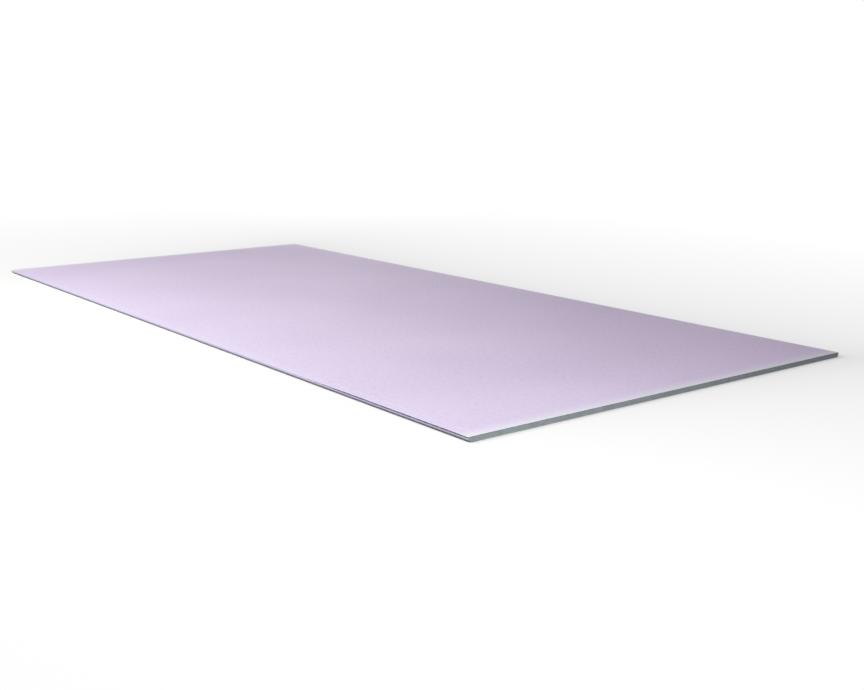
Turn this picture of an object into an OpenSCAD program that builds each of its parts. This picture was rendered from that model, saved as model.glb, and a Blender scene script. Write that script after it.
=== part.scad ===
// Drywall sheet with half-round tapered long edges and square-cut ends, in millimetres.
// It lies face down: the face is on z = 0, the back is on top, and the length runs along X.

/* [Sheet] */
// Length of the sheet between its two cut ends
sheet_length = 2750; // [2000:10:4000]
// Width of the sheet between its two wrapped long edges
sheet_width = 1250; // [600:1:1250]
// Thickness of the sheet, from face to back
sheet_thickness = 12.5; // [9.5:0.5:25]

/* [Long edges] */
// Width of the margin that tapers towards each long edge
taper_width = 50; // [40:1:80]
// How far the taper, drawn on to the edge, stands back from the face
taper_depth = 1.5; // [0.6:0.1:2.5]
// Radius of the half-round nose between the taper and the upright edge
nose_radius = 7; // [3:0.5:9]
// Radius of the fold where the paper turns from the edge on to the back
fold_radius = 1; // [0.5:0.25:2]

/* [Hidden] */
// How far a cutting shape runs past the faces it cuts
cut_over = 5;
// Fineness of the arcs
$fn = 96;
half_width = sheet_width / 2;
// How far the nose dips under the taper, which leaves a soft line where the two meet
nose_dip = 0.1;
// Height of the taper above the face, straight under the centre of the nose
taper_rise = taper_depth * (taper_width - nose_radius) / taper_width;
// Centre of the nose, which touches the upright edge
nose_y = half_width - nose_radius;
nose_z = nose_radius + taper_rise - nose_dip;
// Centre of the fold at the back
fold_y = half_width - fold_radius;
fold_z = sheet_thickness - fold_radius;
// The outer lines of the cutting shapes
outside_y = half_width + cut_over;
below_z = -cut_over;
above_z = sheet_thickness + cut_over;

// Wedge that is pressed out of the face along one long edge
module taper_cut() {
    polygon([
        [half_width - taper_width, 0],
        [half_width, taper_depth],
        [outside_y, taper_depth],
        [outside_y, below_z],
        [half_width - taper_width, below_z]
    ]);
}

// What the half-round nose leaves off the corner between taper and edge
module nose_cut() {
    difference() {
        polygon([
            [nose_y, nose_z],
            [outside_y, nose_z],
            [outside_y, below_z],
            [nose_y, below_z]
        ]);
        translate([nose_y, nose_z])
            circle(r = nose_radius);
    }
}

// What the folded paper leaves off the corner between edge and back
module fold_cut() {
    difference() {
        polygon([
            [fold_y, fold_z],
            [fold_y, above_z],
            [outside_y, above_z],
            [outside_y, fold_z]
        ]);
        translate([fold_y, fold_z])
            circle(r = fold_radius);
    }
}

// Everything taken off one long edge
module edge_cut() {
    taper_cut();
    nose_cut();
    fold_cut();
}

// Section across the sheet, with its width along X and its thickness along Y
module sheet_section() {
    difference() {
        translate([-half_width, 0])
            square([sheet_width, sheet_thickness]);
        edge_cut();
        mirror([1, 0])
            edge_cut();
    }
}

// The whole sheet: one section carried from cut end to cut end
module drywall_sheet() {
    color("#cfc1e2")
        translate([-sheet_length / 2, 0, 0])
            rotate([90, 0, 90])
                linear_extrude(height = sheet_length)
                    sheet_section();
}

drywall_sheet();
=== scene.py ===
# %% [markdown]
# # A drywall sheet, lying face down
# The real sheet is a slab of gypsum plaster between two papers. The face paper goes round both long edges
# and is folded on to the back, and the back paper is glued over the folded margins. Both ends are sawn.
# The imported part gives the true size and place, so the lesson starts by loading it. Drawing the sheet from
# a plain box would be quicker, but its tapered, rounded edges are what tell it from any other panel.

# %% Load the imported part
import math

import bpy
import numpy as np
from mathutils import Color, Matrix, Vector


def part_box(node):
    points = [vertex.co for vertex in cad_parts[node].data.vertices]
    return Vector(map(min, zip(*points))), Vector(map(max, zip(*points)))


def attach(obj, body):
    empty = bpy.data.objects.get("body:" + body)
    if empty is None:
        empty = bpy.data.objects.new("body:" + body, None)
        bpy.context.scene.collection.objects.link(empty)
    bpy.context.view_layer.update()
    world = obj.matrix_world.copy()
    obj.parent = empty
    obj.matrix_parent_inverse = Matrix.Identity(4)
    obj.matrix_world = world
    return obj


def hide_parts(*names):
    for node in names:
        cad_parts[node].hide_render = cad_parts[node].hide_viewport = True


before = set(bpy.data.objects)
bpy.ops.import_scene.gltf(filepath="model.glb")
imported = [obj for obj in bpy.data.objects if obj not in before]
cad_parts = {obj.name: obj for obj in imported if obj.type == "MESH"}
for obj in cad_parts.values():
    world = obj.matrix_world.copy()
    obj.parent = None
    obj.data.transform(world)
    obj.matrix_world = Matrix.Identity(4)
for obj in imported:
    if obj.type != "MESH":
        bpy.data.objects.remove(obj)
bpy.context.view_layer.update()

NODE = "drywall_sheet"
print("nodes in the frame:", sorted(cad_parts))

# %% [markdown]
# ## Sizes
# Length, width and thickness could be typed in again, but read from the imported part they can't drift from
# it. The sizes of the edge can't be read from a box, so they are written here in millimetres, as a maker
# would give them. In this lesson lengths have small letters, and other fixed values have capitals.

# %% Measure the sheet
MM = 0.001
low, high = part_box(NODE)
half_length = (high.x - low.x) / 2
half_width = (high.y - low.y) / 2
thickness = high.z - low.z
print(f"sheet {2 * half_length / MM:.0f} x {2 * half_width / MM:.0f} x {thickness / MM:.1f} mm")

# %% Name the sizes of the long edge and of the papers
taper_width = 50 * MM
taper_depth = 1.5 * MM
nose_radius = 7 * MM
nose_dip = 0.1 * MM
fold_radius = 1 * MM
paper = 0.35 * MM
lap_width = 25 * MM
# How long the slope is where the back paper ends and steps down to the folded margin.
lap_ramp = 0.4 * MM
lap_edge = half_width - lap_width
print(f"papers {paper / MM:.2f} mm thick, folded {lap_width / MM:.0f} mm on to the back")

# %% [markdown]
# ## The section
# Seen from a cut end, the sheet is one closed outline. The face is flat in the middle and tapers at both
# margins, the nose is an arc, the upright edge is short, and a tight fold leads on to the back. It could be
# traced as a list of points. Here each stretch comes from its own formula, so a change of one size carries
# through. The outline is split into four sides, because the cut ends are later filled as four-sided patches.

# %% Work out where the nose meets the taper
slope = math.atan2(taper_depth, taper_width)
taper_rise = taper_depth * (taper_width - nose_radius) / taper_width
nose_y = half_width - nose_radius
nose_z = nose_radius + taper_rise - nose_dip
nose_start = slope - math.asin((1 - nose_dip / nose_radius) * math.cos(slope))
fold_y = half_width - fold_radius
fold_z = thickness - paper - fold_radius
print(f"nose from {math.degrees(nose_start):.1f} to 0 degrees, upright part {(fold_z - nose_z) / MM:.1f} mm")

# %% Draw the wrapped long edge, at any depth under its skin
NOSE_STEPS = 10
FOLD_STEPS = 4


def arc(centre, radius, start, end, steps):
    """Points along an arc, as rows of (y, z)."""
    angle = np.linspace(start, end, steps + 1)
    return np.array(centre) + radius * np.column_stack([np.cos(angle), np.sin(angle)])


def long_edge(depth):
    """The edge on the +Y side, from the start of the nose at the face to the end of the fold at the back."""
    nose = arc((nose_y, nose_z), nose_radius - depth, nose_start, 0, NOSE_STEPS)
    fold = arc((fold_y, fold_z), fold_radius - depth, 0, math.pi / 2, FOLD_STEPS)
    upright_middle = (nose[-1:] + fold[:1]) / 2
    return np.vstack([nose, upright_middle, fold])


ROWS = len(long_edge(0)) - 1
print("steps up the long edge:", ROWS)

# %% Draw the face and the back
COLUMNS = 600


def face_line(end, depth):
    """The face from -Y to +Y, ending where the noses start: flat, then rising along the tapers."""
    y = np.linspace(-end[0], end[0], COLUMNS + 1)
    into_taper = np.maximum(0, np.abs(y) - (half_width - taper_width))
    z = into_taper * taper_depth / taper_width + depth
    z[[0, -1]] = end[1]
    return np.column_stack([y, z])


def back_line(end, depth):
    """The back from +Y to -Y: the back paper ends in a small step down to the folded margins."""
    y = np.linspace(end[0], -end[0], COLUMNS + 1)
    for side in (-1, 1):
        # The two columns nearest the paper's edge move to the head and the foot of the step.
        step = np.sort(np.argsort(np.abs(y - side * lap_edge))[:2])
        y[step] = side * lap_edge + np.array([lap_ramp, -lap_ramp]) / 2
    on_back_paper = np.abs(y) < lap_edge
    return np.column_stack([y, thickness - paper * ~on_back_paper - depth])


def outline(depth):
    """The face, the +Y edge, the back and the -Y edge, in order round the section."""
    right = long_edge(depth)
    left = right[::-1] * [-1, 1]
    return face_line(right[0], depth), right, back_line(right[-1], depth), left


def closed(parts):
    """The four sides as one ring, each corner once."""
    return np.vstack([part[:-1] for part in parts])


skin_ring = closed(outline(0))
print("points round the section:", len(skin_ring))

# %% [markdown]
# ## Stations along the length
# The section is the same from end to end, so it can be carried along X from station to station. An array or
# a curve with a bevel would do that too, but near the ends the real paper isn't quite straight: the saw
# presses its edge down by a fraction of a millimetre. So the stations crowd towards both ends, and each has
# its own depth under the skin.

# %% Place the stations
station_gap = 125 * MM
# How far each crowded station lies from the cut, and how far the paper is pressed down there.
rim_reach = np.array([0, 0.4, 1.2, 3]) * MM
rim_press = np.array([0.16, 0.1, 0.04, 0]) * MM
inner_half = half_length - rim_reach[-1]
inner_count = round(2 * inner_half / station_gap) + 1
inner_x = np.linspace(-inner_half, inner_half, inner_count)
rim_x = half_length - rim_reach[:-1]
station_x = np.concatenate([-rim_x, inner_x, rim_x[::-1]])
station_depth = np.interp(half_length - np.abs(station_x), rim_reach, rim_press)
print(f"{len(station_x)} stations, the paper pressed down {rim_press[0] / MM:.2f} mm at the cut")

# %% Carry the section along them, and roughen the paper's cut edge
FIRST, LAST = 0, -1
FRAY_SEED = 41
# In points round the section, which lie about 2 mm apart on the face and the back.
FRAY_SPREAD = 3
fray_depth = 0.3 * MM
fray_draw = np.random.default_rng(FRAY_SEED)


def smooth_draw(draw, count, spread):
    """A row of random numbers from 0 to 1, each averaged with its neighbours."""
    window = np.ones(spread) / spread
    return np.convolve(draw.random(count + spread - 1), window, mode="valid")


rings = []
for x, depth in zip(station_x, station_depth):
    ring = closed(outline(depth))
    rings.append(np.column_stack([np.full(len(ring), x), ring]))
for end, inwards in ((FIRST, 1), (LAST, -1)):
    rings[end][:, 0] += inwards * fray_depth * smooth_draw(fray_draw, len(skin_ring), FRAY_SPREAD) ** 2
print("skin points:", sum(len(ring) for ring in rings))

# %% [markdown]
# ## The cut ends
# A sawn end shows the core between two thin lines of paper. The core is softer than the paper, so the saw
# leaves it a little lower, with shallow tooth marks and open bubbles. A flat cap with a bump would look the
# same from afar. Real relief is used instead, because it is in the mesh itself. The patch is
# filled by blending its four sides, so that its points follow the sheet's outline all round.

# %% Blend four sides into a grid of points
def blended_patch(parts):
    """Points across a four-sided patch, by column and row, blended from the sides round it."""
    face, right, back, left = parts
    bottom = face[:, None]
    top = back[::-1][:, None]
    start = left[::-1][None]
    end = right[None]
    across = np.linspace(0, 1, COLUMNS + 1)[:, None, None]
    up = np.linspace(0, 1, ROWS + 1)[None, :, None]
    between_lines = (1 - up) * bottom + up * top + (1 - across) * start + across * end
    low_corners = (1 - across) * bottom[0] + across * bottom[-1]
    high_corners = (1 - across) * top[0] + across * top[-1]
    return between_lines - (1 - up) * low_corners - up * high_corners


core_depth = rim_press[0] + paper
core_patch = blended_patch(outline(core_depth))
print("core patch:", core_patch.shape[0], "columns by", core_patch.shape[1], "rows")

# %% Give the core its sawn relief
RELIEF_SEED = 17
# In columns of the patch, so that a tooth mark is about 10 mm wide.
MARK_SPREAD = 5
PIT_SHARE = 0.02
recess = 0.25 * MM
mark_depth = 0.25 * MM
grit_depth = 0.06 * MM
pit_depth = 0.5 * MM
relief_draw = np.random.default_rng(RELIEF_SEED)


def sawn_relief():
    """How far each inner point of the core lies behind its rim: tooth marks, grit and open bubbles."""
    inner = (COLUMNS - 1, ROWS - 1)
    marks = smooth_draw(relief_draw, inner[0], MARK_SPREAD)[:, None] * mark_depth
    grit = relief_draw.random(inner) * grit_depth
    pits = (relief_draw.random(inner) < PIT_SHARE) * relief_draw.random(inner) * pit_depth
    return marks + grit + pits


end_relief = {side: sawn_relief() for side in (-1, 1)}
print(f"deepest point behind the rim {max(r.max() for r in end_relief.values()) / MM:.2f} mm")

# %% [markdown]
# ## One closed mesh
# The sheet is one thing, so it becomes one mesh with no open edges: the skin, the cut edge of the paper, the
# little wall down to the core, and the core. Primitive shapes and modifiers can't hold all four in step, so
# the corners are numbered one by one and the faces are joined ring by ring.

# %% Join the rings of the skin
COUNT = len(skin_ring)
points = list(rings)
numbers = np.arange(len(rings) * COUNT).reshape(len(rings), COUNT)


def band(first, second):
    """Four-sided faces between two rings of point numbers."""
    return np.column_stack([first, np.roll(first, -1), np.roll(second, -1), second])


quads = [band(first, second) for first, second in zip(numbers, numbers[1:])]
print("skin faces:", sum(len(part) for part in quads))

# %% Name the surfaces, and say which one each skin face has
FACE_PAPER, BACK_PAPER, PAPER_EDGE, CORE = range(4)
middle = (skin_ring + np.roll(skin_ring, -1, axis=0)) / 2
on_top = middle[:, 1] > thickness - paper - fold_radius / 2
surface_of_ring = np.where(on_top & (np.abs(middle[:, 0]) <= lap_edge), BACK_PAPER, FACE_PAPER)
surfaces = [np.tile(surface_of_ring, len(quads))]
print("faces of back paper in a ring:", int((surface_of_ring == BACK_PAPER).sum()))

# %% Add points and faces for the ends
def add_points(new):
    """Append points and give back their numbers."""
    start = sum(len(part) for part in points)
    points.append(new)
    return np.arange(start, start + len(new))


def add_faces(faces, surface, side):
    """Append faces that all have one surface, turned to look outwards at either end."""
    quads.append(faces if side > 0 else faces[:, ::-1])
    surfaces.append(np.full(len(faces), surface))


def core_grid(rim, inside):
    """Point numbers of the core by column and row: its rim, in four sides, laid round its inner points."""
    grid = np.empty((COLUMNS + 1, ROWS + 1), int)
    grid[1:-1, 1:-1] = inside.reshape(COLUMNS - 1, ROWS - 1)
    face, right, back, left = np.split(rim, np.cumsum([COLUMNS, ROWS, COLUMNS]))
    grid[:-1, 0] = face
    grid[-1, :-1] = right
    grid[:0:-1, -1] = back
    grid[0, :0:-1] = left
    return grid


print("points before the ends are closed:", sum(len(part) for part in points))

# %% Close both ends
def close_end(side, end):
    """Fill one cut end: the paper's edge, the wall down to the core, and the core."""
    ring = closed(outline(core_depth))
    core_x = side * (half_length - fray_depth - recess)
    inner_rim = add_points(np.column_stack([rings[end][:, 0], ring]))
    core_rim = add_points(np.column_stack([np.full(COUNT, core_x), ring]))
    inside_x = core_x - side * end_relief[side]
    inside = add_points(np.dstack([inside_x, core_patch[1:-1, 1:-1]]).reshape(-1, 3))
    grid = core_grid(core_rim, inside)
    patch = np.stack([grid[:-1, :-1], grid[1:, :-1], grid[1:, 1:], grid[:-1, 1:]], axis=-1)
    add_faces(band(numbers[end], inner_rim), PAPER_EDGE, side)
    add_faces(band(inner_rim, core_rim), CORE, side)
    add_faces(patch.reshape(-1, 4), CORE, side)


close_end(side=-1, end=FIRST)
close_end(side=1, end=LAST)
print("all faces:", sum(len(part) for part in quads))

# %% Make the mesh
SHARP_FROM = math.radians(35)
mesh = bpy.data.meshes.new("lined_sheet")
mesh.from_pydata(np.vstack(points).tolist(), [], np.vstack(quads).tolist())
mesh.polygons.foreach_set("material_index", np.concatenate(surfaces).astype("int32"))
mesh.shade_smooth()
mesh.set_sharp_from_angle(angle=SHARP_FROM)
mesh.update()
lined_sheet = bpy.data.objects.new("lined_sheet", mesh)
bpy.context.scene.collection.objects.link(lined_sheet)
print("triangles:", 2 * len(mesh.polygons), "valid:", not mesh.validate())

# %% [markdown]
# ## Tools for the materials
# Every finish here is drawn by nodes, and every node is added the same way. One function adds it, sets its
# own properties, and fills its inputs with values or with links. Colours are written as the hex values that
# a paint program shows, and one function turns them to the linear light that shaders work in.

# %% Turn a colour linear
MID_GREY = "#808080"
BYTE_MAX = 255
OPAQUE = 1


def linear(hex_colour):
    """An sRGB hex colour as the linear colour that a shader takes."""
    channels = [byte / BYTE_MAX for byte in bytes.fromhex(hex_colour[1:])]
    return (*Color(channels).from_srgb_to_scene_linear(), OPAQUE)


print(f"{MID_GREY} is {linear(MID_GREY)[0]:.3f} in linear light")

# %% Add a node
# A mix node has sockets of one name for numbers and for colours, so its sockets go by number here.
MIX_FACTOR, MIX_A, MIX_B, MIX_OUT = 0, 6, 7, 2
NUMBER_A, NUMBER_B, NUMBER_OUT = 2, 3, 0


def add_node(tree, kind, inputs, **settings):
    """Add one node, and give back its outputs. An input is a value or another node's output."""
    node = tree.nodes.new("ShaderNode" + kind)
    for name, value in settings.items():
        setattr(node, name, value)
    for socket, value in inputs.items():
        if isinstance(value, bpy.types.NodeSocket):
            tree.links.new(value, node.inputs[socket])
        else:
            node.inputs[socket].default_value = value
    return node.outputs


def new_material(name):
    """A material with an empty node tree, and the place on the sheet as its nodes see it."""
    material = bpy.data.materials.new(name)
    material.use_nodes = True
    material.node_tree.nodes.clear()
    place = add_node(material.node_tree, "TexCoord", {})["Object"]
    return material, material.node_tree, place


print("tools ready: linear, add_node, new_material")

# %% [markdown]
# ## Lining paper: colour
# Drywall is lined with board made from waste paper in several plies, the outer one dyed and the whole pressed
# between rollers. To the eye it is matte and even, with faint clouds where the pulp lies thicker, short
# fibres that took up less dye, and a few dark specks. A single flat colour would look like plastic. Each of
# these marks is a noise pattern whose size is given in millimetres, and each is laid over the one before.

# %% Draw a noise pattern in two shades
# How many finer layers a noise pattern has over its first one.
PLAIN, SOFT, ROUGH, CRUMBLY = 0, 1, 3, 5
# Most of a noise pattern lies between the first and the last of these, about the middle one.
NOISE_LOW, NOISE_MEAN, NOISE_HIGH = 0.32, 0.5, 0.68


def two_shades(tree, pattern, deep, pale):
    """The low places of a pattern in a deep shade, and its high places in a pale one."""
    span = {"Value": pattern, "From Min": NOISE_LOW, "From Max": NOISE_HIGH}
    shade = add_node(tree, "MapRange", span)[0]
    shades = {MIX_FACTOR: shade, MIX_A: linear(deep), MIX_B: linear(pale)}
    return add_node(tree, "Mix", shades, data_type="RGBA")[MIX_OUT]


print(f"shades spread over noise from {NOISE_LOW} to {NOISE_HIGH}")

# %% Cloud the dyed pulp
# Real clouds are a few millimetres across. They are drawn coarser here, or they wouldn't show.
cloud_size = 12 * MM
tone_size = 450 * MM
TONE_SHARE = 0.45


def dyed_clouds(tree, place, deep, pale):
    """Small clouds, and a slow change of tone over the whole sheet."""
    small = {"Vector": place, "Scale": 1 / cloud_size, "Detail": ROUGH}
    clouds = add_node(tree, "TexNoise", small)["Fac"]
    slow = {"Vector": place, "Scale": 1 / tone_size, "Detail": SOFT}
    tone = add_node(tree, "TexNoise", slow)["Fac"]
    parts = {MIX_FACTOR: TONE_SHARE, NUMBER_A: clouds, NUMBER_B: tone}
    return two_shades(tree, add_node(tree, "Mix", parts)[NUMBER_OUT], deep, pale)


print(f"clouds {cloud_size / MM:.0f} mm across, tone changing over {tone_size / MM:.0f} mm")

# %% Lay fibres in it
# Real fibres are a tenth of this width, and are drawn wider so that some of them show.
fibre_length = 8 * MM
fibre_width = 0.8 * MM
FIBRE_TURNS = [math.radians(degrees) for degrees in (-32, 12, 58)]
FIBRE_FROM, FIBRE_TO, FIBRE_SHOW = 0.62, 0.74, 0.4


def stray_fibres(tree, place, colour, undyed):
    """Short pale threads that lie across each other in a few directions."""
    for turn in FIBRE_TURNS:
        lie = {"Vector": place, "Rotation": (0, 0, turn), "Scale": (fibre_length, fibre_width, fibre_width)}
        along = add_node(tree, "Mapping", lie, vector_type="TEXTURE")[0]
        threads = add_node(tree, "TexNoise", {"Vector": along, "Scale": 1, "Detail": PLAIN})["Fac"]
        span = {"Value": threads, "From Min": FIBRE_FROM, "From Max": FIBRE_TO, "To Max": FIBRE_SHOW}
        shown = add_node(tree, "MapRange", span)[0]
        layers = {MIX_FACTOR: shown, MIX_A: colour, MIX_B: linear(undyed)}
        colour = add_node(tree, "Mix", layers, data_type="RGBA")[MIX_OUT]
    return colour


print(f"fibres {fibre_length / MM:.0f} mm long in {len(FIBRE_TURNS)} directions")

# %% Strew specks over it
# Only the peaks of this pattern show, as specks of one or two millimetres. Many real ones are finer.
speck_size = 8 * MM
SPECK_FROM, SPECK_TO, SPECK_SHOW = 0.74, 0.8, 0.8


def dark_specks(tree, place, colour, speck):
    """Bits of old ink that were never quite washed out of the pulp."""
    bits = add_node(tree, "TexNoise", {"Vector": place, "Scale": 1 / speck_size, "Detail": SOFT})["Fac"]
    span = {"Value": bits, "From Min": SPECK_FROM, "From Max": SPECK_TO, "To Max": SPECK_SHOW}
    shown = add_node(tree, "MapRange", span)[0]
    layers = {MIX_FACTOR: shown, MIX_A: colour, MIX_B: linear(speck)}
    return add_node(tree, "Mix", layers, data_type="RGBA")[MIX_OUT]


print(f"specks in cells of {speck_size / MM:.0f} mm")

# %% [markdown]
# ## Lining paper: saw dust and a dark line
# The saw leaves chalk dust along the cut ends, which greys the last few centimetres of the paper. By the near
# corner, a line just under the fold is drawn darker, in broken dashes. Painting these by
# hand would need an image. A mask worked out from the place on the sheet does it with nodes alone, and a
# noise pattern keeps its edge from looking drawn.

# %% Dust the cut ends
dust_reach = 52 * MM
dust_ragged = 24 * MM
# Grains of dust are far too fine to show, so this is the size of the patches that they lie in.
dust_grain = 5 * MM
dust_start = half_length - dust_reach + dust_ragged * NOISE_MEAN
DUST_FALL = 1.5
CHALK = "#e2e0ea"


def saw_dust(tree, place, colour):
    """Chalk dust, thickest at the cut and thinning raggedly inwards."""
    along = add_node(tree, "SeparateXYZ", {"Vector": place})["X"]
    from_middle = add_node(tree, "Math", {0: along}, operation="ABSOLUTE")[0]
    grains = add_node(tree, "TexNoise", {"Vector": place, "Scale": 1 / dust_grain, "Detail": ROUGH})["Fac"]
    shifted = {0: grains, 1: dust_ragged, 2: from_middle}
    ragged = add_node(tree, "Math", shifted, operation="MULTIPLY_ADD")[0]
    span = {"Value": ragged, "From Min": dust_start, "From Max": dust_start + dust_reach}
    nearness = add_node(tree, "MapRange", span)[0]
    cover = add_node(tree, "Math", {0: nearness, 1: DUST_FALL}, operation="POWER")[0]
    layers = {MIX_FACTOR: cover, MIX_A: colour, MIX_B: linear(CHALK)}
    return add_node(tree, "Mix", layers, data_type="RGBA")[MIX_OUT]


print(f"dust over the last {dust_reach / MM:.0f} mm")

# %% Darken a line under the fold by the near corner
# Along the edge the line is whole for its solid length, and then thins out.
dark_line_length = 800 * MM
dark_line_solid = 450 * MM
# It lies this far below the back. It is darkest within its core, and fades out at its width.
dark_line_below = 1.9 * MM
dark_line_core = 1.1 * MM
dark_line_width = 2.2 * MM
# The line is broken into dashes of this length and width.
dash_length = 12 * MM
dash_width = 1.6 * MM
DASH_EDGE = 0.34
DASH_LOW = 0.12
DASH_SHOW = 0.95
# The colour of the darker line under the fold.
UNDER_FOLD_DARK = "#2a2432"


def dark_line_under_fold(tree, place, colour):
    """Darker dashes along a line just under the fold, closest together at the near corner."""
    x, y, z = add_node(tree, "SeparateXYZ", {"Vector": place})
    below = add_node(tree, "Math", {0: z, 1: thickness - dark_line_below}, operation="SUBTRACT")[0]
    off_line = add_node(tree, "Math", {0: below}, operation="ABSOLUTE")[0]
    cover = 1
    for value, none_at, all_at in (
        (x, half_length - dark_line_length, half_length - dark_line_solid),
        (y, -fold_y, -half_width),
        (off_line, dark_line_width, dark_line_core),
    ):
        part = add_node(tree, "MapRange", {"Value": value, "From Min": none_at, "From Max": all_at})[0]
        cover = add_node(tree, "Math", {0: part, 1: cover}, operation="MULTIPLY")[0]
    lie = {"Vector": place, "Scale": (dash_length, dash_width, dash_width)}
    along = add_node(tree, "Mapping", lie, vector_type="TEXTURE")[0]
    dashes = add_node(tree, "TexNoise", {"Vector": along, "Scale": 1, "Detail": CRUMBLY})["Fac"]
    # Noise under this level is plain paper: all of it away from the line, and little on the line itself.
    clean_below = add_node(tree, "MapRange", {"Value": cover, "To Min": 1, "To Max": DASH_LOW})[0]
    over = add_node(tree, "Math", {0: dashes, 1: clean_below}, operation="SUBTRACT")[0]
    shown = add_node(tree, "MapRange", {"Value": over, "From Max": DASH_EDGE, "To Max": DASH_SHOW})[0]
    layers = {MIX_FACTOR: shown, MIX_A: colour, MIX_B: linear(UNDER_FOLD_DARK)}
    return add_node(tree, "Mix", layers, data_type="RGBA")[MIX_OUT]


print(f"edge rubbed over {dark_line_length / MM:.0f} mm")

# %% [markdown]
# ## Lining paper: the two sheets
# The face paper has to take paint, so it is finer and more tightly pressed than the back paper. Here that is
# a smoother surface and a slightly cooler colour, which is partly the face paper's own and partly a painted
# tint of the cool shade on the long edges. Both are cellulose, open-pored and uncoated, so they scatter light
# and have little gloss. Two node trees could be built by hand, but they would be nearly the same. One
# function makes both, so that they differ only in what it is given: colours, roughness and marks.

# %% Make both papers
# Pulp is felted at a fraction of a millimetre. It is drawn coarser, or its bump wouldn't show.
pulp_size = 2.5 * MM
pulp_height = 0.05 * MM
CELLULOSE_IOR = 1.47
PAPER_GLOSS = 0.3


def lining_paper(name, deep, pale, undyed, speck, roughness, marks):
    """Dyed waste-paper board: clouded, fibrous and matte, with marks laid over it."""
    material, tree, place = new_material(name)
    colour = dyed_clouds(tree, place, deep, pale)
    colour = stray_fibres(tree, place, colour, undyed)
    colour = dark_specks(tree, place, colour, speck)
    for mark in marks:
        colour = mark(tree, place, colour)
    pulp = add_node(tree, "TexNoise", {"Vector": place, "Scale": 1 / pulp_size, "Detail": ROUGH})["Fac"]
    relief = add_node(tree, "Bump", {"Height": pulp, "Distance": pulp_height})["Normal"]
    gloss = {"Roughness": roughness, "IOR": CELLULOSE_IOR, "Specular IOR Level": PAPER_GLOSS}
    shader = add_node(tree, "BsdfPrincipled", {"Base Color": colour, "Normal": relief, **gloss})[0]
    add_node(tree, "OutputMaterial", {"Surface": shader})
    return material


back_paper = lining_paper("pressed_lilac_back_paper", deep="#d0bfdc", pale="#dccce7", undyed="#e7dbef",
                          speck="#b4a5c1", roughness=0.88, marks=[saw_dust])
# The face paper's cooler colours are partly its own and partly a painted tint of the cool shade on the long
# edges.
face_paper = lining_paper("pressed_lilac_face_paper", deep="#cfc1dd", pale="#dacde7", undyed="#e6dcef",
                          speck="#b5a9c5", roughness=0.78, marks=[saw_dust, dark_line_under_fold])
print("papers:", back_paper.name, "and", face_paper.name)

# %% [markdown]
# ## Cut paper and sawn gypsum
# At the ends the saw shows the papers' undyed inner plies as a thin grey-brown line, and the core itself:
# gypsum plaster foamed while wet and then dried. It is chalky and quite matte, a cool grey, full of bubbles
# of all sizes, and streaked by the teeth of the saw. One noise pattern can't give all three, so clouds,
# streaks and bubbles each have their own, and streaks and bubbles also feed the bump. The cool grey is partly
# the gypsum's own and partly a painted tint of the cool shade on the cut end, and inside the open bubbles
# the colour is painted darker, as painted shade.

# %% Streak the core with the saw
tooth_pitch = 3 * MM
tooth_run = 60 * MM
TOOTH_SLANT = math.radians(14)


def saw_streaks(tree, place):
    """Streaks up the cut end with a slight slant, a tooth's width apart."""
    lie = {"Vector": place, "Rotation": (TOOTH_SLANT, 0, 0), "Scale": (tooth_run, tooth_pitch, tooth_run)}
    across = add_node(tree, "Mapping", lie, vector_type="TEXTURE")[0]
    return add_node(tree, "TexNoise", {"Vector": across, "Scale": 1, "Detail": SOFT})["Fac"]


print(f"saw streaks {tooth_pitch / MM:.0f} mm apart")

# %% Open its bubbles
# Most real bubbles are too small to show, so they are drawn a few times larger.
bubble_size = 1.3 * MM
BUBBLE_RARITY = 3
BUBBLE_LARGEST = 0.5
BUBBLE_EDGE = 0.12


def open_bubbles(tree, place):
    """One inside a bubble that the saw opened, and nought in the chalk. Few are large, and most are tiny."""
    cells = add_node(tree, "TexVoronoi", {"Vector": place, "Scale": 1 / bubble_size})
    chance = add_node(tree, "SeparateColor", {"Color": cells["Color"]})["Red"]
    rare = add_node(tree, "Math", {0: chance, 1: BUBBLE_RARITY}, operation="POWER")[0]
    radius = add_node(tree, "Math", {0: rare, 1: BUBBLE_LARGEST}, operation="MULTIPLY")[0]
    inside = add_node(tree, "Math", {0: radius, 1: cells["Distance"]}, operation="SUBTRACT")[0]
    return add_node(tree, "MapRange", {"Value": inside, "From Max": BUBBLE_EDGE})[0]


print(f"bubbles in cells of {bubble_size / MM:.1f} mm")

# %% Make the core
chalk_size = 24 * MM
core_relief = 0.3 * MM
STREAK_SHARE = 0.35
GYPSUM_IOR = 1.52
CORE_ROUGHNESS = 0.95
CORE_GLOSS = 0.2


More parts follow.
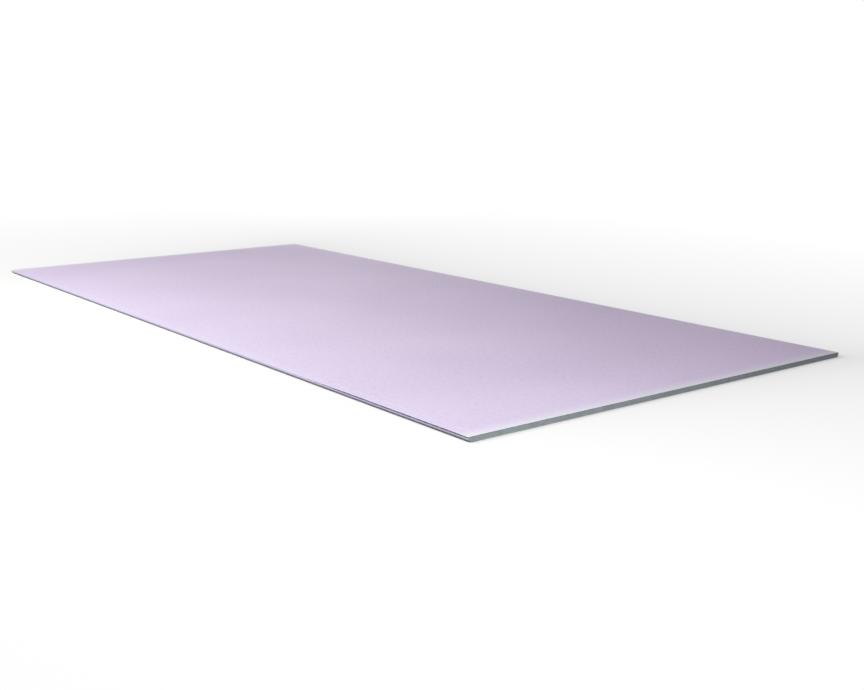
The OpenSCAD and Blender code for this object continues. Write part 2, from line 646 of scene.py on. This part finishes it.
def sawn_gypsum(name, deep, pale, painted_hole_shade):
    """Foamed plaster that was sawn dry: clouded, streaked by the saw, and open-pored."""
    material, tree, place = new_material(name)
    streaks = saw_streaks(tree, place)
    bubbles = open_bubbles(tree, place)
    clouds = add_node(tree, "TexNoise", {"Vector": place, "Scale": 1 / chalk_size, "Detail": CRUMBLY})["Fac"]
    parts = {MIX_FACTOR: STREAK_SHARE, NUMBER_A: clouds, NUMBER_B: streaks}
    chalk = two_shades(tree, add_node(tree, "Mix", parts)[NUMBER_OUT], deep, pale)
    # Inside the open bubbles the colour is painted darker, as painted shade in the holes.
    layers = {MIX_FACTOR: bubbles, MIX_A: chalk, MIX_B: linear(painted_hole_shade)}
    chalk_and_hole_shade = add_node(tree, "Mix", layers, data_type="RGBA")[MIX_OUT]
    height = add_node(tree, "Math", {0: streaks, 1: bubbles}, operation="SUBTRACT")[0]
    relief = add_node(tree, "Bump", {"Height": height, "Distance": core_relief})["Normal"]
    gloss = {"Roughness": CORE_ROUGHNESS, "IOR": GYPSUM_IOR, "Specular IOR Level": CORE_GLOSS}
    shader = add_node(tree, "BsdfPrincipled", {"Base Color": chalk_and_hole_shade, "Normal": relief, **gloss})[0]
    add_node(tree, "OutputMaterial", {"Surface": shader})
    return material


# The core's cool grey-green is partly the gypsum's own and partly a painted tint of the cool shade on the cut
# end.
sawn_core = sawn_gypsum("sawn_gypsum_core", deep="#b3bfbd", pale="#cad4d3", painted_hole_shade="#98a4a2")
print("core:", sawn_core.name)

# %% Make the cut edge of the paper
# Torn fibres are finer than this. They are drawn coarser, so that the thin line isn't one flat grey.
ply_size = 1.5 * MM
EDGE_ROUGHNESS = 0.92


def torn_plies(name, deep, pale):
    """Undyed plies that the saw tore across: grey-brown, fuzzy and dull."""
    material, tree, place = new_material(name)
    fuzz = add_node(tree, "TexNoise", {"Vector": place, "Scale": 1 / ply_size, "Detail": ROUGH})["Fac"]
    torn = two_shades(tree, fuzz, deep, pale)
    gloss = {"Roughness": EDGE_ROUGHNESS, "IOR": CELLULOSE_IOR, "Specular IOR Level": CORE_GLOSS}
    shader = add_node(tree, "BsdfPrincipled", {"Base Color": torn, **gloss})[0]
    add_node(tree, "OutputMaterial", {"Surface": shader})
    return material


cut_plies = torn_plies("torn_waste_paper_plies", deep="#938b89", pale="#b1a7a6")
print("cut edge:", cut_plies.name)

# %% [markdown]
# ## Dress the sheet
# Materials could be given by picking faces one by one. Here each face already knows which surface it belongs
# to, so the four materials only have to be listed in that order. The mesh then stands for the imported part's
# own node, which is hidden, and rides on its one body.

# %% Give the materials, and tie the mesh to the part
for material in (face_paper, back_paper, cut_plies, sawn_core):
    mesh.materials.append(material)
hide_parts(NODE)
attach(lined_sheet, "root")
print("materials on the sheet:", [material.name for material in mesh.materials])

# %% [markdown]
# ## Floor
# A pale sheet is best judged on a pale floor. A floor that is white all over would throw so much light up at
# the long edges that their roundness would be lost. So the floor is a dull grey to the light, and only the
# camera sees it pale. Away from the sheet it also fades to white, so that no horizon shows. The fade starts
# at the sheet's outline, so the dark line of shadow under the edge is kept.

# %% Find which rays come from the eye
def seen_directly(tree):
    """One for rays from the camera, also by a mirror or through glass, and nought for light on its way."""
    rays = add_node(tree, "LightPath", {})
    seen = add_node(tree, "Math", {0: rays["Is Camera Ray"], 1: rays["Is Glossy Ray"]}, operation="ADD")[0]
    through = {0: seen, 1: rays["Is Transmission Ray"]}
    return add_node(tree, "Math", through, operation="ADD", use_clamp=True)[0]


print("rays told apart: seen, or only lighting")

# %% Measure how far a place on the floor is from the sheet
def past_sheet(tree, place):
    """The distance in metres from the sheet's outline, and nought under the sheet."""
    one_quarter = add_node(tree, "VectorMath", {0: place}, operation="ABSOLUTE")[0]
    corner = (half_length, half_width, thickness)
    past = add_node(tree, "VectorMath", {0: one_quarter, 1: corner}, operation="SUBTRACT")[0]
    outside = add_node(tree, "VectorMath", {0: past, 1: (0, 0, 0)}, operation="MAXIMUM")[0]
    return add_node(tree, "VectorMath", {0: outside}, operation="LENGTH")["Value"]


print("floor measured from the sheet's outline")

# %% Finish the floor
# In metres. The power makes the fade quick at first and then slow.
fade_reach = 2
FADE_POWER = 0.15
WHITE = "#ffffff"
FLOOR_SEEN = "#f3f2f1"
FLOOR_LIT = "#62666e"
floor_finish, tree, place = new_material("matte_studio_floor")
seen = seen_directly(tree)
away = {0: past_sheet(tree, place), 1: fade_reach}
near_to_far = add_node(tree, "Math", away, operation="DIVIDE", use_clamp=True)[0]
fade = add_node(tree, "Math", {0: near_to_far, 1: FADE_POWER}, operation="POWER")[0]
white_share = add_node(tree, "Math", {0: fade, 1: seen}, operation="MULTIPLY")[0]
tints = {MIX_FACTOR: seen, MIX_A: linear(FLOOR_LIT), MIX_B: linear(FLOOR_SEEN)}
tint = add_node(tree, "Mix", tints, data_type="RGBA")[MIX_OUT]
matte = add_node(tree, "BsdfDiffuse", {"Color": tint})[0]
white = add_node(tree, "Emission", {"Color": linear(WHITE), "Strength": 1})[0]
surface = add_node(tree, "MixShader", {0: white_share, 1: matte, 2: white})[0]
add_node(tree, "OutputMaterial", {"Surface": surface})
print(f"floor white from {fade_reach} m away")

# %% Lay it just under the sheet
# In metres, and large enough that no edge of it is in sight.
floor_half = 30
floor_drop = 0.1 * MM
floor_mesh = bpy.data.meshes.new("floor")
floor_corners = [(-1, -1), (1, -1), (1, 1), (-1, 1)]
floor_points = [(x * floor_half, y * floor_half, -floor_drop) for x, y in floor_corners]
floor_mesh.from_pydata(floor_points, [], [range(len(floor_points))])
floor_mesh.materials.append(floor_finish)
floor = bpy.data.objects.new("floor", floor_mesh)
bpy.context.scene.collection.objects.link(floor)
print(f"floor {2 * floor_half} m square")

# %% [markdown]
# ## Light
# The light should fall off across the back, from the near left to the far right, model the rounded edge, and
# leave the cut end in half shade. One sun would light it all alike. A broad soft box in front, left of the
# middle, gives the fall. A small one off the near end lifts the end, a low one behind keeps the far sides
# from going black, and a weak sky fills what is left.

# %% Set the sky
SKY = "#fdecff"
SKY_STRENGTH = 0.18
world = bpy.data.worlds.new("studio")
world.use_nodes = True
tree = world.node_tree
tree.nodes.clear()
sky = add_node(tree, "Background", {"Color": linear(SKY), "Strength": SKY_STRENGTH})[0]
white = add_node(tree, "Background", {"Color": linear(WHITE), "Strength": 1})[0]
both = add_node(tree, "MixShader", {0: seen_directly(tree), 1: sky, 2: white})[0]
add_node(tree, "OutputWorld", {"Surface": both})
bpy.context.scene.world = world
print("sky strength:", SKY_STRENGTH)

# %% Build a soft box
def soft_box(name, place, aim, size, watts, colour):
    """A lamp as broad as its size, which lights the sheet but isn't seen itself."""
    data = bpy.data.lights.new(name, "AREA")
    data.shape = "RECTANGLE"
    data.size, data.size_y = size
    data.energy = watts
    data.color = linear(colour)[:3]
    lamp = bpy.data.objects.new(name, data)
    lamp.location = place
    lamp.rotation_euler = (aim - place).to_track_quat("-Z", "Y").to_euler()
    lamp.visible_camera = False
    bpy.context.scene.collection.objects.link(lamp)
    print(f"{name}: {watts} W over {size[0]} x {size[1]} m")


print("ready to hang soft boxes")

# %% Hang the front box
# The places of the lamps are in metres. This one is left of the middle, off the near edge, and high.
front_left = 0.38
front_off = 1.565
front_high = 1.76
front_aim_left = 0.45
front_aim_near = 0.13
front_place = Vector((-front_left, -half_width - front_off, front_high))
front_aim = Vector((-front_aim_left, -front_aim_near, 0))
soft_box("front_box", front_place, front_aim, size=(2.5, 1), watts=89.5, colour="#f7fff7")

# %% Hang the end box
# This one is off the near end, a little to the near side, and aimed at the near corner.
end_off = 0.845
end_near = 0.295
end_high = 0.94
near_corner = Vector((half_length, -half_width, 0))
end_place = Vector((half_length + end_off, -half_width - end_near, end_high))
soft_box("end_box", end_place, near_corner, size=(1, 0.8), watts=12.5, colour="#f7fbfb")

# %% Hang the back box
# This one is low, off the far corner, and aimed at it.
back_off = 1.825
back_far = 1.575
back_high = 0.45
far_corner = -near_corner
back_place = Vector((-half_length - back_off, half_width + back_far, back_high))
soft_box("back_box", back_place, far_corner, size=(1.6, 0.6), watts=36, colour=WHITE)

# %% [markdown]
# ## Camera
# The camera stands off the near corner, a little above the sheet, so that the long edge runs away to the
# left and the cut end to the right. It is tilted down at the sheet rather than shifted, so that it also
# frames the sheet from any other side.

# %% Stand the camera off the near corner
# In metres: how far it stands past the near end and past the near edge, and how high above the back.
past_end = 1.718
past_edge = 1.408
above_back = 0.675
# It looks at a place on the back, this far from the middle towards the near end and towards the near edge.
aim_past_middle = 0.658
aim_near_side = 0.166
# In millimetres, for the sensor that Blender's cameras start with.
lens = 48.67
camera_data = bpy.data.cameras.new("camera")
camera_data.lens = lens
camera = bpy.data.objects.new("camera", camera_data)
camera.location = (half_length + past_end, -half_width - past_edge, thickness + above_back)
camera_aim = Vector((aim_past_middle, -aim_near_side, thickness))
camera.rotation_euler = (camera_aim - camera.location).to_track_quat("-Z", "Y").to_euler()
bpy.context.scene.collection.objects.link(camera)
bpy.context.scene.camera = camera
bpy.context.scene.view_settings.view_transform = "Standard"
print(f"camera {(camera_aim - camera.location).length:.2f} m from its aim")
